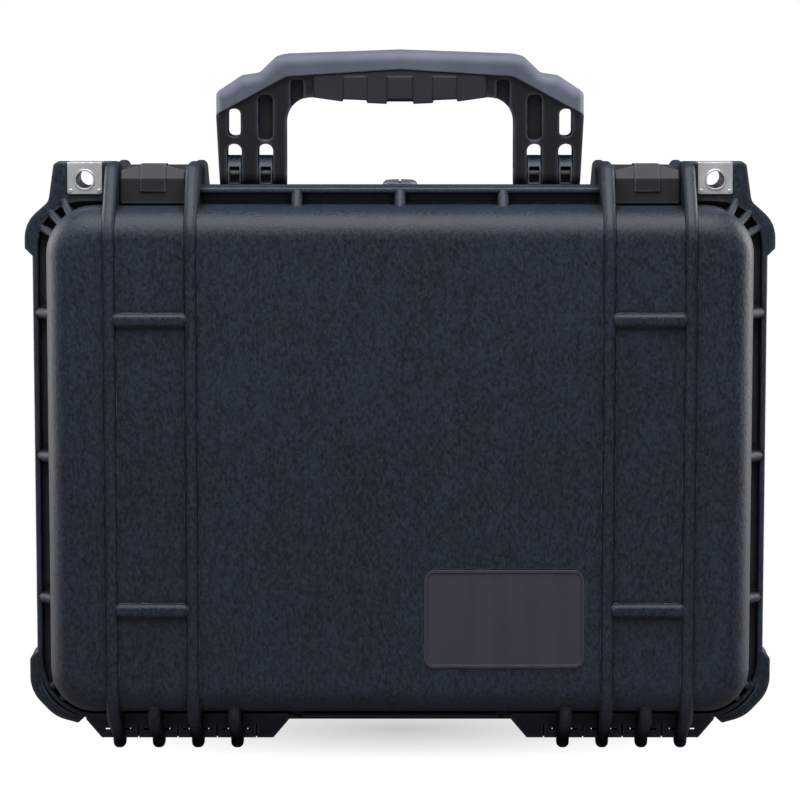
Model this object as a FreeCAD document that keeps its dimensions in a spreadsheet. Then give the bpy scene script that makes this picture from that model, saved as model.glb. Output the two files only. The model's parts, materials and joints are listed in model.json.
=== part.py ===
import FreeCAD, Part
import math
import os
import re

import Sketcher

# A hinged protective case that stands on its hinge side: lid to the front (-Y), base to the back (+Y).
# Lengths are in millimetres and angles in degrees. X runs to the right and Z up; the floor is Z = 0.
SIZES = {
    # the two moulded halves
    "shell_width": 380.0,  # outside of a half at the parting plane
    "shell_height": 275.0,
    "shell_corner": 25.0,
    "wall": 4.0,
    "lid_room": 44.5,  # free depth inside
    "base_room": 111.0,
    "draft_angle": 1.5,
    "face_round": 15.0,  # outside rounding round the lid's face and the base's floor
    "seam_gap": 0.4,  # between the closed halves
    "stand_height": 17.0,  # floor to the flange
    # flange, rim and corner bumpers
    "flange_reach": 9.0,
    "flange_plate": 5.5,
    "rim_depth": 13.0,
    "rim_width": 3.2,
    "rim_edge": 1.2,
    "bumper_reach": 4.0,
    "bumper_high_start": 24.0,  # below the top of the shell
    "bumper_low_start": 38.0,  # above the lower edge of the flange
    "bumper_ramp": 4.0,
    "bumper_edge": 1.2,
    "bumper_knee": 10.2,
    "bumper_round": 18.0,
    "bumper_inner_round": 27.0,
    "bumper_low_knee": 16.0,
    "bumper_heel": 9.5,
    "bumper_heel_rise": 1.5,
    "bumper_toe": 22.0,
    "bumper_toe_reach": 2.0,
    "bumper_low_round": 20.0,
    # seal in the lid, tongue on the base
    "seal_offset": 4.0,  # from the outside of the wall to the middle of the seal
    "groove_width": 4.4,
    "groove_depth": 3.6,
    "seal_width": 4.0,
    "seal_height": 2.2,
    "seal_round": 0.9,
    "tongue_width": 2.0,
    "tongue_height": 1.4,
    # ribs that run round the halves beside the latches
    "latch_inset": 56.95,  # middle of a latch from the side of the case
    "rib_spread": 43.3,  # between the two ribs beside a latch
    "rib_width": 7.0,
    "rib_round": 2.9,
    "lid_rib_rise": 3.5,  # cross bars included
    "base_rib_rise": 7.0,
    "guard_rise": 13.5,  # of the ribs above the flange
    "lid_guard_front": 25.0,
    "lid_guard_drop": 32.0,
    "lid_guard_round": 8.0,
    "lid_shoulder_round": 20.0,
    "lid_foot_meet": 24.5,  # height where the slanted foot line meets the face line
    "lid_foot_round": 25.0,
    "base_guard_fall": 3.0,  # below the lid's ribs
    "base_guard_run": 62.0,
    "base_shoulder_drop": 48.0,
    "base_hinge_run": 88.0,
    "base_rib_lift": 50.0,
    "base_rib_round": 14.0,
    "bar_height": 7.4,  # cross bars between two ribs on the lid's face
    "bar_rise": 0.7,  # above the ribs
    "bar_inset": 1.2,
    "bar_round": 2.6,
    # foot ribs at the hinges
    "foot_back": 2.5,
    "foot_front": 9.0,
    "foot_nose_out": 10.5,
    "foot_nose_rise": 4.5,
    "foot_round": 1.4,
    "short_rib_reach": 44.0,
    "short_rib_rise": 20.5,
    "short_rib_round": 12.0,
    "base_foot_width": 5.0,
    "base_foot_start": 13.0,  # clear of the lid's feet when these swing
    "base_foot_run": 80.0,
    "base_foot_reach": 104.0,
    "base_foot_round": 10.0,
    "base_foot_edge": 1.6,
    # hinges
    "hinge_height": 6.8,
    "barrel_radius": 2.4,
    "hinge_pin_radius": 1.3,
    "pin_clearance": 0.06,
    "knuckle_gap": 0.6,
    "skirt_gap": 0.3,
    "skirt_over": 9.3,
    "skirt_slope": 8.6,
    "apron_bottom": 6.8,  # the lid's skirt in front of the hinge
    "apron_back": 3.3,
    "apron_slit": 0.7,
    "apron_slit_height": 7.5,
    "apron_plate": 2.5,  # its front, which the slots go through
    "web_back": 8.0,
    "slot_length": 4.5,
    "slot_height": 1.2,
    "slot_shift": 5.8,
    "slot_lift": 1.4,
    # gussets between the wall and the rim
    "gusset_width": 6.2,
    "gusset_inset": 0.6,
    "gusset_round": 3.0,
    "corner_gusset_width": 4.2,
    "lid_gusset": 22.0,
    "base_gusset": 40.0,
    "bar_share": 0.285,  # cross bars and side gussets above and below the middle, by the height
    # padlock lugs and their steel guards
    "lug_inset": 3.2,  # from the side of the case
    "lug_lean": 3.1,
    "lug_round": 2.5,
    "lug_waist": 1.5,
    "lug_waist_round": 6.0,
    "padlock_inset": 19.9,
    "padlock_rise": 4.2,  # hole centre above the flange
    "padlock_radius": 4.75,
    "eyelet_wall": 0.9,
    "eyelet_lip": 0.5,
    "notch_gap": 0.15,
    "guard_width": 18.7,
    "guard_height": 17.0,
    "guard_sheet": 1.0,
    "barb_radius": 0.9,
    "barb_inset": 1.7,
    "barb_rise": 0.5,
    # latches
    "latch_clearance": 0.35,
    "latch_pin_radius": 1.5,
    "latch_pivot_back": 18.5,  # lever pivot behind the parting plane
    "latch_pivot_drop": 3.0,  # below the top of the flange
    "link_step_back": 9.0,  # from the lever pivot to the hook pivot
    "link_step_up": 7.5,
    "latch_eye": 4.2,
    "lip_thick": 4.7,
    "lip_drop": 8.6,
    "hook_lift": 0.6,  # hook above the flange
    "hook_thick": 11.4,
    "hook_wing_fall": 2.7,
    "hook_bevel_drop": 6.8,
    "hook_bevel_run": 5.0,
    "hook_edge": 0.8,
    "hook_side_round": 1.5,
    "hook_head_end": 9.0,  # behind the parting plane
    "hook_arm_width": 17.6,
    "hook_arm_slope": 1.6,
    "hook_pad_width": 13.6,
    "hook_pad_rise": 0.9,
    "hook_pad_height": 7.0,
    "lever_slot_gap": 0.4,
    "lever_web": 2.2,
    "lever_length": 46.0,
    "lever_tip_drop": 1.2,
    "lever_tip_thick": 3.2,
    "lever_grip_thick": 6.0,
    "lever_grip_slope": 22.0,
    "lever_edge": 1.4,
    # handle
    "handle_back": 23.0,  # pivot behind the parting plane
    "handle_pivot_rise": 6.0,  # above the top of the flange
    "handle_pin_radius": 2.3,
    "handle_depth": 18.0,
    "handle_leg_end": 9.0,  # round end of the legs below the pivot
    "handle_inset": 10.8,  # from the inner rib
    "handle_leg_width": 38.3,
    "handle_leg_lean": 2.0,
    "prong_outer": 5.8,
    "prong_middle": 9.1,
    "prong_slot": 8.1,
    "slot_rise": 15.9,  # round top of the slots above the pivot
    "boss_gap": 0.5,
    "boss_radius": 9.4,
    "boss_cheek": 0.8,
    "boss_pocket_up": 3.4,
    "boss_pocket_down": 5.4,
    "arch_rise": 41.3,  # underside of the arch above the pivot
    "arch_round": 14.0,
    "core_rise": 45.0,
    "cover_rise": 56.7,  # underside of the soft cover in the middle
    "cover_round": 10.0,
    "cover_crown": 3.9,
    "cover_drop": 24.9,
    "handle_rise": 67.1,  # top of the handle above the pivot
    "crown_fall": 2.2,
    "crown_round": 18.0,
    "crown_step": 5.6,
    "shoulder_top_fall": 1.3,
    "shoulder_top_round": 6.0,
    "shoulder_step": 9.7,
    "shoulder_fall": 9.2,
    "shoulder_foot_round": 5.0,
    "knee_step": 9.6,
    "knee_fall": 1.4,
    "shoulder_end_step": 13.7,
    "shoulder_end_fall": 9.1,
    "shoulder_end_round": 4.0,
    "cover_depth": 23.0,
    "cover_edge": 6.0,
    "window_lift": 3.9,  # bridge between a slot and the window above it
    "window_height": 15.3,
    "window_round": 3.0,
    "window_side": 0.5,
    "groove_height": 25.0,
    "pocket_deep": 6.0,
    "corner_pocket_in": 2.4,
    "corner_pocket_width": 7.2,
    "corner_pocket_height": 23.0,
    "corner_pocket_round": 1.8,
    "pad_inset": 1.3,  # finger pad under the grip, from the end of the arch
    "pad_depth": 21.4,
    "pad_high_fall": 3.5,
    "pad_mid_fall": 2.2,
    "pad_low_fall": 1.0,
    "pad_step": 0.5,
    "finger_half": 6.9,
    "finger_gap": 11.0,
    "finger_width": 13.0,
    "finger_panel": 0.7,
    # label plate on the lid's face
    "label_inset": 134.1,  # from the side of the case
    "label_drop": 83.0,  # below the middle of the case
    "label_width": 86.0,
    "label_height": 53.4,
    "label_corner": 5.5,
    "label_sink": 0.8,
    "label_thick": 1.1,
    "label_rim": 1.6,
    "label_rim_rise": 0.5,
    # pressure valve in the base
    "valve_back": 39.0,
    "valve_boss_radius": 13.0,
    "valve_boss_rise": 0.6,
    "valve_hole_radius": 6.3,
    "valve_stem_radius": 6.1,
    "valve_stem_length": 9.4,
    "valve_bore_radius": 3.5,
    "valve_head_radius": 11.2,
    "valve_head_height": 3.0,
    "valve_seat_height": 1.4,
    "valve_seal_radius": 8.6,
    "valve_seal_thick": 1.2,
    "valve_cap_radius": 9.6,
    "valve_cap_height": 4.6,
    "valve_cap_round": 2.6,
    "valve_cap_slot": 1.2,
    "valve_nut_width": 17.0,
    "valve_nut_height": 4.0,
    "valve_nut_gap": 0.45,
    "valve_membrane_radius": 7.4,
    "valve_membrane_thick": 0.6,
    "overrun": 5.0,  # how far a cut runs past what it cuts
    "round_share": 0.95,  # how much of a half width is rounded on a full round end
}

# Places that follow from the sizes above.
PLACES = {
    "lid_depth": "lid_room + wall",
    "base_depth": "base_room + wall",
    "part_plane": "(lid_depth + lid_rib_rise - base_depth - base_rib_rise) / 2",
    "shell_bottom": "stand_height + flange_reach",
    "middle": "shell_bottom + shell_height / 2",
    "shell_top": "shell_bottom + shell_height",
    "flange_top": "shell_top + flange_reach",
    "guard_top": "flange_top + guard_rise",
    "half_seam": "seam_gap / 2",
    "half_rim": "shell_width / 2 + flange_reach",
    "rim_line": "half_rim - rim_width / 2",
    "corner_x": "shell_width / 2 - shell_corner",
    "corner_low": "shell_bottom + shell_corner",
    "corner_high": "shell_top - shell_corner",
    "latch_place": "shell_width / 2 - latch_inset",
    "rib_out": "latch_place + rib_spread / 2",
    "rib_in": "latch_place - rib_spread / 2",
    "foot_pitch": "rib_spread / 2",
    "knuckle_length": "rib_spread / 4 - knuckle_gap",
    "skirt_bottom": "hinge_height + barrel_radius + skirt_gap",
    "lug_outer": "shell_width / 2 - lug_inset",
    "padlock_place": "shell_width / 2 - padlock_inset",
    "padlock_z": "flange_top + padlock_rise",
    "top_gusset_pitch": "rib_in / 2",
    "side_gusset_pitch": "bar_share * shell_height",
    "latch_gap": "rib_spread - rib_width",
    "latch_width": "latch_gap - 2 * latch_clearance",
    "pivot_u": "latch_pivot_back",
    "pivot_z": "flange_top - latch_pivot_drop",
    "link_u": "pivot_u + link_step_back",
    "link_z": "pivot_z + link_step_up",
    "hook_under": "flange_top + hook_lift",
    "hook_top": "hook_under + hook_thick",
    "lip_back": "rim_depth + seam_gap",
    "lip_front": "lip_back + lip_thick",
    "lip_bottom": "flange_top - lip_drop",
    "handle_y": "part_plane + handle_back",
    "handle_z": "flange_top + handle_pivot_rise",
    "handle_half": "rib_in - handle_inset",
    "leg_in": "handle_half - handle_leg_width",
    "pad_half": "leg_in - arch_round - pad_inset",
    "finger_inner": "finger_half + finger_gap",
    "finger_outer": "finger_inner + finger_width",
    "shoulder_knee_half": "handle_half - shoulder_end_step",
    "shoulder_foot_half": "shoulder_knee_half - knee_step",
    "shoulder_top_half": "shoulder_foot_half - shoulder_step",
    "crown_half": "shoulder_top_half - crown_step",
    "crown_z": "handle_top - crown_fall",
    "shoulder_top_z": "crown_z - shoulder_top_fall",
    "shoulder_foot_z": "shoulder_top_z - shoulder_fall",
    "shoulder_knee_z": "shoulder_foot_z - knee_fall",
    "shoulder_end_z": "shoulder_knee_z - shoulder_end_fall",
    "slot_one_out": "handle_half - prong_outer",
    "slot_one_in": "slot_one_out - prong_slot",
    "slot_two_out": "slot_one_in - prong_middle",
    "slot_two_in": "slot_two_out - prong_slot",
    "arch_z": "handle_z + arch_rise",
    "core_z": "handle_z + core_rise",
    "cover_z": "handle_z + cover_rise",
    "handle_top": "handle_z + handle_rise",
    "lid_face": "part_plane - lid_depth",
    "label_place": "shell_width / 2 - label_inset",
    "label_z": "middle - label_drop",
    "valve_y": "part_plane + valve_back",
    "valve_seat": "shell_top + valve_boss_rise",
}

SAME_PLACE = 1e-4  # two places nearer than this are one
V = FreeCAD.Vector
doc = FreeCAD.newDocument("case")
sheet = doc.addObject("Spreadsheet::Sheet", "Sheet")
for row, (size, amount) in enumerate(SIZES.items(), start=1):
    sheet.set(f"A{row}", size)
    sheet.set(f"B{row}", str(amount))
    sheet.setAlias(f"B{row}", size)
doc.recompute()


def bind(text):
    """The expression with each named size tied to its cell and each named place written out."""

    def swap(found):
        word = found.group(0)
        if word in PLACES:
            return "(" + bind(PLACES[word]) + ")"
        return "Sheet." + word if word in SIZES else word

    return re.sub(r"[a-z_]+", swap, text)


def number(text):
    """What an expression comes to now."""
    return float(sheet.evalExpression(bind(text)))


def tie(thing, **settings):
    """Binds properties of a feature to expressions."""
    for name, text in settings.items():
        thing.setExpression(name, bind(text))
    return thing


# Sketches and the features made from them


def new_body(name):
    body = doc.addObject("PartDesign::Body", name)
    body.Label = name
    return body


def new_sketch(body, role, offset="0"):
    sketch = body.newObject("Sketcher::SketchObject", body.Name + "_sketch")
    plane = next(item for item in body.Origin.OriginFeatures if item.Role == role)
    sketch.AttachmentSupport = (plane, [""])
    sketch.MapMode = "FlatFace"
    sketch.setExpression("AttachmentOffset.Base.z", bind(offset))
    return sketch


def front_sketch(body, y):
    """A sketch seen from the front, in X and Z, at a distance along Y."""
    return new_sketch(body, "XZ_Plane", f"-({y})")


def side_sketch(body, x):
    """A sketch seen from the right, in Y and Z, at a distance along X."""
    return new_sketch(body, "YZ_Plane", x)


def corner_arc(here, before, after, radius):
    """The arc that rounds a corner, its two ends in the order of travel, and whether it runs that way."""
    half = before.getAngle(after) / 2
    run = radius / math.tan(half)
    arrive = here + before * run
    leave = here + after * run
    centre = here + (before + after).normalize() * (radius / math.sin(half))
    onward = before.x * after.y - before.y * after.x < 0
    first, last = (arrive, leave) if onward else (leave, arrive)
    start = math.atan2(first.y - centre.y, first.x - centre.x)
    end = math.atan2(last.y - centre.y, last.x - centre.x)
    if end < start:
        end += 2 * math.pi
    return Part.ArcOfCircle(Part.Circle(centre, V(0, 0, 1), radius), start, end), arrive, leave, onward


def outline(sketch, corners, origin=("0", "0")):
    """A closed loop. Each corner has two coordinates and, if it is rounded, a radius."""
    placed = [(f"({origin[0]}) + ({c[0]})", f"({origin[1]}) + ({c[1]})") for c in corners]
    spots = [V(number(a), number(b), 0) for a, b in placed]
    count = len(corners)
    arrivals, departures, arcs = [], [], {}
    for i, corner in enumerate(corners):
        arrive = leave = spots[i]
        if len(corner) == 3:
            before = (spots[i - 1] - spots[i]).normalize()
            after = (spots[(i + 1) % count] - spots[i]).normalize()
            arc, arrive, leave, onward = corner_arc(spots[i], before, after, number(corner[2]))
            arcs[i] = (arc, onward)
        arrivals.append(arrive)
        departures.append(leave)
    first = sketch.GeometryCount
    for i in range(count):
        sketch.addGeometry(Part.LineSegment(departures[i], arrivals[(i + 1) % count]))
    constraints, texts = [], []

    def add(text, *parts):
        constraints.append(Sketcher.Constraint(*parts))
        texts.append(text)

    for i, corner in enumerate(corners):
        into = first + (i - 1) % count
        out_of = first + i
        held = out_of
        if i in arcs:
            arc, onward = arcs[i]
            bend = sketch.addGeometry(arc)
            held = sketch.addGeometry(Part.Point(spots[i]), True)
            begin, finish = (1, 2) if onward else (2, 1)
            add(None, "Tangent", into, 2, bend, begin)
            add(None, "Tangent", bend, finish, out_of, 1)
            add(None, "PointOnObject", held, 1, into)
            add(None, "PointOnObject", held, 1, out_of)
            add(corner[2], "Radius", bend, number(corner[2]))
        else:
            add(None, "Coincident", into, 2, out_of, 1)
        add(placed[i][0], "DistanceX", held, 1, spots[i].x)
        add(placed[i][1], "DistanceY", held, 1, spots[i].y)
    for index, text in zip(sketch.addConstraint(constraints), texts):
        if text is not None:
            sketch.setExpression(f"Constraints[{index}]", bind(text))
    return sketch


def rectangle(sketch, width, height, middle, corner, centre="0"):
    """A rectangle with round corners, about a middle."""
    left, right = f"{centre} - ({width}) / 2", f"{centre} + ({width}) / 2"
    low, high = f"{middle} - ({height}) / 2", f"{middle} + ({height}) / 2"
    spots = [(left, low), (right, low), (right, high), (left, high)]
    return outline(sketch, [(x, z, corner) for x, z in spots])


def ring_of_wall(sketch, offset):
    """The outline of the case wall, moved outwards."""
    return rectangle(sketch, f"shell_width + 2 * ({offset})", f"shell_height + 2 * ({offset})", "middle",
                     f"shell_corner + ({offset})")


def circle(sketch, x, y, radius):
    """A full circle about a point."""
    round_edge = Part.Circle(V(number(x), number(y), 0), V(0, 0, 1), number(radius))
    index = sketch.addGeometry(round_edge)
    for kind, text in (("DistanceX", x), ("DistanceY", y)):
        added = sketch.addConstraint(Sketcher.Constraint(kind, index, 3, number(text)))
        sketch.setExpression(f"Constraints[{added}]", bind(text))
    added = sketch.addConstraint(Sketcher.Constraint("Radius", index, number(radius)))
    sketch.setExpression(f"Constraints[{added}]", bind(radius))


def pad(body, sketch, length, both=False, back=False, taper=None):
    """Raises a sketch to a solid: along its normal, to both sides, or backwards."""
    feature = body.newObject("PartDesign::Pad", body.Name + "_pad")
    feature.Profile = sketch
    feature.SideType = "Symmetric" if both else "One side"
    feature.Reversed = back
    tie(feature, Length=length)
    if taper:
        tie(feature, TaperAngle=f"-({taper})")
    return feature


def pocket(body, sketch, length=None, both=False, back=False):
    """Cuts a sketch out of a body, by a depth or right through."""
    feature = body.newObject("PartDesign::Pocket", body.Name + "_pocket")
    feature.Profile = sketch
    feature.SideType = "Symmetric" if both else "One side"
    feature.Reversed = back
    tie(feature, Length=length)
    return feature


def round_edges(body, radius, chosen):
    """Rounds the edges that a test picks."""
    doc.recompute()
    tip = body.Tip
    names = [f"Edge{i}" for i, edge in enumerate(tip.Shape.Edges, start=1) if chosen(edge)]
    feature = body.newObject("PartDesign::Fillet", body.Name + "_fillet")
    feature.Base = (tip, names)
    return tie(feature, Radius=radius)


def lies_at(edge, axis, place):
    """Whether a whole edge lies in the plane at this place on an axis."""
    low = getattr(edge.BoundBox, axis + "Min")
    high = getattr(edge.BoundBox, axis + "Max")
    return abs(low - place) < SAME_PLACE and abs(high - place) < SAME_PLACE


def runs_along_x(edge):
    return edge.BoundBox.XLength > edge.BoundBox.YLength


# Plain solids, and solids put together


def put(thing, x, y, z, turn=None):
    if turn:
        thing.Placement = FreeCAD.Placement(V(), turn)
    for axis, text in zip("xyz", (x, y, z)):
        thing.setExpression(f"Placement.Base.{axis}", bind(text))
    return thing


def box(name, xs, ys, zs):
    """A block between two places on each axis."""
    block = doc.addObject("Part::Box", name)
    for side, (low, high) in zip(("Length", "Width", "Height"), (xs, ys, zs)):
        block.setExpression(side, bind(f"({high}) - ({low})"))
    return put(block, xs[0], ys[0], zs[0])


ALONG_X = FreeCAD.Rotation(V(0, 1, 0), 90)
ALONG_Y = FreeCAD.Rotation(V(1, 0, 0), -90)
UPRIGHT = FreeCAD.Rotation()


def rod(name, radius, length, x, y, z, turn=ALONG_X):
    """A cylinder from a point along X, along Y or upright."""
    solid = doc.addObject("Part::Cylinder", name)
    tie(solid, Radius=radius, Height=length)
    return put(solid, x, y, z, turn)


def upright_rod(name, radius, low, high):
    """A cylinder on the valve's axis, between two heights."""
    return rod(name, radius, f"({high}) - ({low})", "0", "valve_y", low, UPRIGHT)


def fuse(name, pieces):
    whole = doc.addObject("Part::MultiFuse", name)
    whole.Label = name
    whole.Shapes = pieces
    whole.Refine = True
    return whole


def cut(name, solid, tool):
    rest = doc.addObject("Part::Cut", name)
    rest.Label = name
    rest.Base = solid
    rest.Tool = tool
    return rest


def mirrored(name, source):
    """The same piece on the right-hand side."""
    twin = doc.addObject("Part::Mirroring", name)
    twin.Label = name
    twin.Source = source
    twin.Normal = (1, 0, 0)
    return twin


def both_sides(name, left):
    return [left, mirrored(name, left)]


NOTCH_RADIUS = "padlock_radius + eyelet_wall + notch_gap"


# The moulded halves. Each function takes the side of the parting plane: "-" for the lid, "+" for the base.


def at(side, depth):
    """A place on Y, by its distance from the parting plane."""
    return f"part_plane {side} ({depth})"


def tub(name, side, offset, start, depth, rounding):
    """A block with drafted walls and a rounded far edge."""
    body = new_body(name)
    sketch = ring_of_wall(front_sketch(body, at(side, start)), offset)
    pad(body, sketch, f"{depth} - ({start})", back=side == "+", taper="draft_angle")
    far = number(at(side, depth))
    round_edges(body, rounding, lambda edge: lies_at(edge, "Y", far))
    return body


def flange(name, side):
    """The flange plate and the rim round its edge."""
    body = new_body(name)
    back = side == "+"
    plate = ring_of_wall(front_sketch(body, at(side, "half_seam")), "flange_reach")
    pad(body, plate, "flange_plate - half_seam", back=back)
    rim = ring_of_wall(front_sketch(body, at(side, "half_seam")), "flange_reach")
    ring_of_wall(rim, "flange_reach - rim_width")
    pad(body, rim, "rim_depth - half_seam", back=back)
    front = number(at(side, "rim_depth"))
    round_edges(body, "rim_edge", lambda edge: lies_at(edge, "Y", front))
    return body


def wall_ring(name, side, start, width, height, toward):
    """A ring along the middle line of the seal."""
    body = new_body(name)
    sketch = ring_of_wall(front_sketch(body, at(side, start)), f"seal_offset + {width} / 2")
    ring_of_wall(sketch, f"seal_offset - {width} / 2")
    pad(body, sketch, height, back=toward == "+")
    return body


def across_rim(name, side, corners):
    """A plate with this outline, as deep as the rim."""
    body = new_body(name)
    sketch = outline(front_sketch(body, at(side, "half_seam")), corners)
    pad(body, sketch, "rim_depth - half_seam", back=side == "+")
    return body


def low_bumper(name, side):
    """A thicker stretch of rim round the lower left-hand corner."""
    outer, start = "-(half_rim + bumper_reach)", "stand_height + bumper_low_start"
    return across_rim(name, side, [
        ("-rim_line", start),
        ("-half_rim", start),
        (outer, f"{start} - bumper_ramp", "bumper_edge"),
        (outer, "stand_height + bumper_low_knee", "bumper_low_round"),
        ("-(half_rim - bumper_heel)", "stand_height + bumper_heel_rise", "bumper_low_round"),
        ("-(half_rim - bumper_toe)", "stand_height - bumper_toe_reach", "bumper_edge"),
        ("-(half_rim - bumper_toe - bumper_ramp)", "stand_height + rim_width / 2"),
        ("-rim_line", "stand_height + rim_width / 2", "bumper_inner_round"),
    ])


def lug_top(side):
    """The base's lugs are as much lower as its ribs."""
    return "guard_top" if side == "-" else "guard_top - base_guard_fall"


def lug(name, side):
    """The ear for a padlock, from the outer rib to the corner, where it runs out into a bumper."""
    outer, start = "-(half_rim + bumper_reach)", "shell_top - bumper_high_start"
    return across_rim(name, side, [
        ("-rib_out", "shell_top + rim_width / 2"),
        ("-rib_out", lug_top(side)),
        ("-lug_outer", lug_top(side), "lug_round"),
        ("-(lug_outer + lug_lean)", "shell_top + lug_waist", "lug_waist_round"),
        (outer, "shell_top - bumper_knee", "bumper_round"),
        (outer, start, "bumper_edge"),
        ("-half_rim", f"{start} - bumper_ramp"),
        ("-rim_line", f"{start} - bumper_ramp"),
        ("-rim_line", "shell_top + rim_width / 2", "bumper_inner_round"),
    ])


def gusset(name, side, length, x, z, angle, width="gusset_width"):
    """A web from the wall to the rim with a round crest, pointing outwards at an angle from +X."""
    body = new_body(name)
    root, crest = "-wall / 2", "flange_reach - gusset_inset"
    corners = [
        (f"0 {side} half_seam", root),
        (f"0 {side} half_seam", crest),
        (f"0 {side} (rim_depth - gusset_inset)", crest, "gusset_round"),
        (f"0 {side} ({length})", root),
    ]
    pad(body, outline(side_sketch(body, "0"), corners), width, both=True)
    sides = [number(f"{sign} {width} / 2") for sign in "+-"]
    plain = [number(f"0 {side} half_seam"), number(root)]

    def on_crest(edge):
        at_side = any(lies_at(edge, "X", place) for place in sides)
        return at_side and not lies_at(edge, "Y", plain[0]) and not lies_at(edge, "Z", plain[1])

    round_edges(body, f"round_share * {width} / 2", on_crest)
    return put(body, x, "part_plane", z, FreeCAD.Rotation(V(0, 1, 0), 90 - angle))


CORNER_ANGLES_HIGH = (122.5, 140.0, 157.5)
CORNER_ANGLES_LOW = (210.0, 227.0)


def left_gussets(name, side, length):
    """The gussets of the left half."""
    places = [("-top_gusset_pitch", "shell_top", 90), ("-top_gusset_pitch", "shell_bottom", 270)]
    for steps in (-1, 0, 1):
        places.append(("-shell_width / 2", f"middle + {steps} * side_gusset_pitch", 180))
    for middle, angles in (("corner_high", CORNER_ANGLES_HIGH), ("corner_low", CORNER_ANGLES_LOW)):
        for angle in angles:
            x = f"-corner_x + shell_corner * cos({angle} deg)"
            z = f"{middle} + shell_corner * sin({angle} deg)"
            places.append((x, z, angle, "corner_gusset_width"))
    return [gusset(f"{name}_{i}", side, length, *place) for i, place in enumerate(places)]


def rib(name, x, width, corners, rounding):
    """An upright plate across the case, with a rounded crest."""
    body = new_body(name)
    pad(body, outline(side_sketch(body, x), corners, ("part_plane", "0")), width, both=True)
    sides = [number(f"({x}) + {sign} ({width}) / 2") for sign in "+-"]
    seam = [number(f"part_plane {sign} half_seam") for sign in "+-"]

    def on_crest(edge):
        at_side = any(lies_at(edge, "X", place) for place in sides)
        return at_side and not any(lies_at(edge, "Y", place) for place in seam)

    round_edges(body, rounding, on_crest)
    return body


def lid_long_rib(name, x):
    """From the foot, up the face and back over the top."""
    face = "-(lid_depth + lid_rib_rise - bar_rise)"
    corners = [
        ("-half_seam", "foot_nose_rise"),
        ("-foot_back", "0", "foot_round"),
        ("-foot_front", "0", "foot_round"),
        ("-foot_nose_out", "foot_nose_rise", "foot_round"),
        (face, "lid_foot_meet", "lid_foot_round"),
        (face, "guard_top - lid_guard_drop", "lid_shoulder_round"),
        ("-lid_guard_front", "guard_top", "lid_guard_round"),
        ("-half_seam", "guard_top"),
    ]
    return rib(name, x, "rib_width", corners, "rib_round")


def lid_short_rib(name, x):
    """A foot rib that ends under the lid's lower edge."""
    corners = [
        ("-half_seam", "foot_nose_rise"),
        ("-foot_back", "0", "foot_round"),
        ("-foot_front", "0", "foot_round"),
        ("-foot_nose_out", "foot_nose_rise", "foot_round"),
        ("-short_rib_reach", "short_rib_rise", "short_rib_round"),
        ("-short_rib_reach", "corner_low"),
        ("-half_seam", "corner_low"),
    ]
    return rib(name, x, "rib_width", corners, "rib_round")


def base_long_rib(name, x):
    """From the top, down the base's floor and along the hinge side."""
    floor = "base_depth + base_rib_rise"
    top = "guard_top - base_guard_fall"
    return rib(name, x, "rib_width", [
        ("half_seam", "stand_height"),
        ("base_hinge_run", "stand_height", "base_rib_round"),
        (floor, "base_rib_lift", "base_rib_round"),
        (floor, f"{top} - base_shoulder_drop", "base_rib_round"),
        ("base_guard_run", top, "base_rib_round"),
        ("half_seam", top),
    ], "rib_round")


def base_foot_rib(name, x):
    """A foot along the hinge side, behind a foot rib of the lid."""
    return rib(name, x, "base_foot_width", [
        ("base_foot_start", "corner_low"),
        ("base_foot_start", "0", "foot_round"),
        ("base_foot_run", "0", "base_foot_round"),
        ("base_foot_reach", "shell_bottom", "base_foot_round"),
        ("base_foot_reach", "corner_low"),
    ], "base_foot_edge")


def foot_place(index, base):
    """Where a foot rib stands: the lid's and the base's take turns along the hinge."""
    shift = " - rib_spread / 4" if base else ""
    return f"-(rib_out - {index} * foot_pitch{shift})"


def knuckle(name, x):
    start = f"{x} - knuckle_length / 2"
    return rod(name, "barrel_radius", "knuckle_length", start, "part_plane", "hinge_height")


def hinge_bore(name):
    radius = "hinge_pin_radius + pin_clearance"
    start = "-(rib_out + rib_spread / 8 + overrun)"
    return rod(name, radius, "2 * rib_spread + 2 * overrun", start, "part_plane", "hinge_height")


def knuckle_web(name, x):
    """Ties a knuckle of the base to the skirt above it."""
    xs = (f"{x} - base_foot_width / 2", f"{x} + base_foot_width / 2")
    ys = (at("+", "half_seam"), at("+", "web_back"))
    return box(name, xs, ys, ("hinge_height", "stand_height + rim_width"))


def skirt(name, side, bottom, front, back):
    """The lower edge of the rim, drawn down over the hinge, between two distances from the parting plane."""
    body = new_body(name)
    outer = "rib_out + skirt_over"
    inner = "rib_in - 3 / 4 * rib_spread - skirt_over"
    corners = [
        (f"-({outer} + skirt_slope)", "stand_height"),
        (f"-({outer})", bottom),
        (f"-({inner})", bottom),
        (f"-({inner} - skirt_slope)", "stand_height"),
        (f"-({inner} - skirt_slope)", "stand_height + rim_width"),
        (f"-({outer} + skirt_slope)", "stand_height + rim_width"),
    ]
    sketch = outline(front_sketch(body, at(side, front)), corners)
    pad(body, sketch, f"({back}) - ({front})", back=side == "+")
    return body


def skirt_slots(name, side):
    """Short slots beside each foot rib, hollowed from behind so that light comes through."""
    low = "skirt_bottom + slot_lift"
    high = f"{low} + slot_height"
    back = "rim_depth - apron_plate"
    steps = [
        ("0 - overrun", "apron_back", "skirt_bottom - skirt_gap / 2"),
        ("apron_back", back, "apron_bottom - overrun"),
        (back, "rim_depth + overrun", low if side == "-" else "apron_bottom - overrun"),
    ]
    slots = []
    for index in range(4):
        for sign in "+-":
            middle = f"{foot_place(index, False)} {sign} slot_shift"
            xs = (f"{middle} - slot_length / 2", f"{middle} + slot_length / 2")
            for near, far, bottom in steps:
                ys = (at(side, near), at(side, far))
                slots.append(box(f"{name}_{len(slots)}", xs, ys if side == "+" else ys[::-1], (bottom, high)))
    return slots


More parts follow.
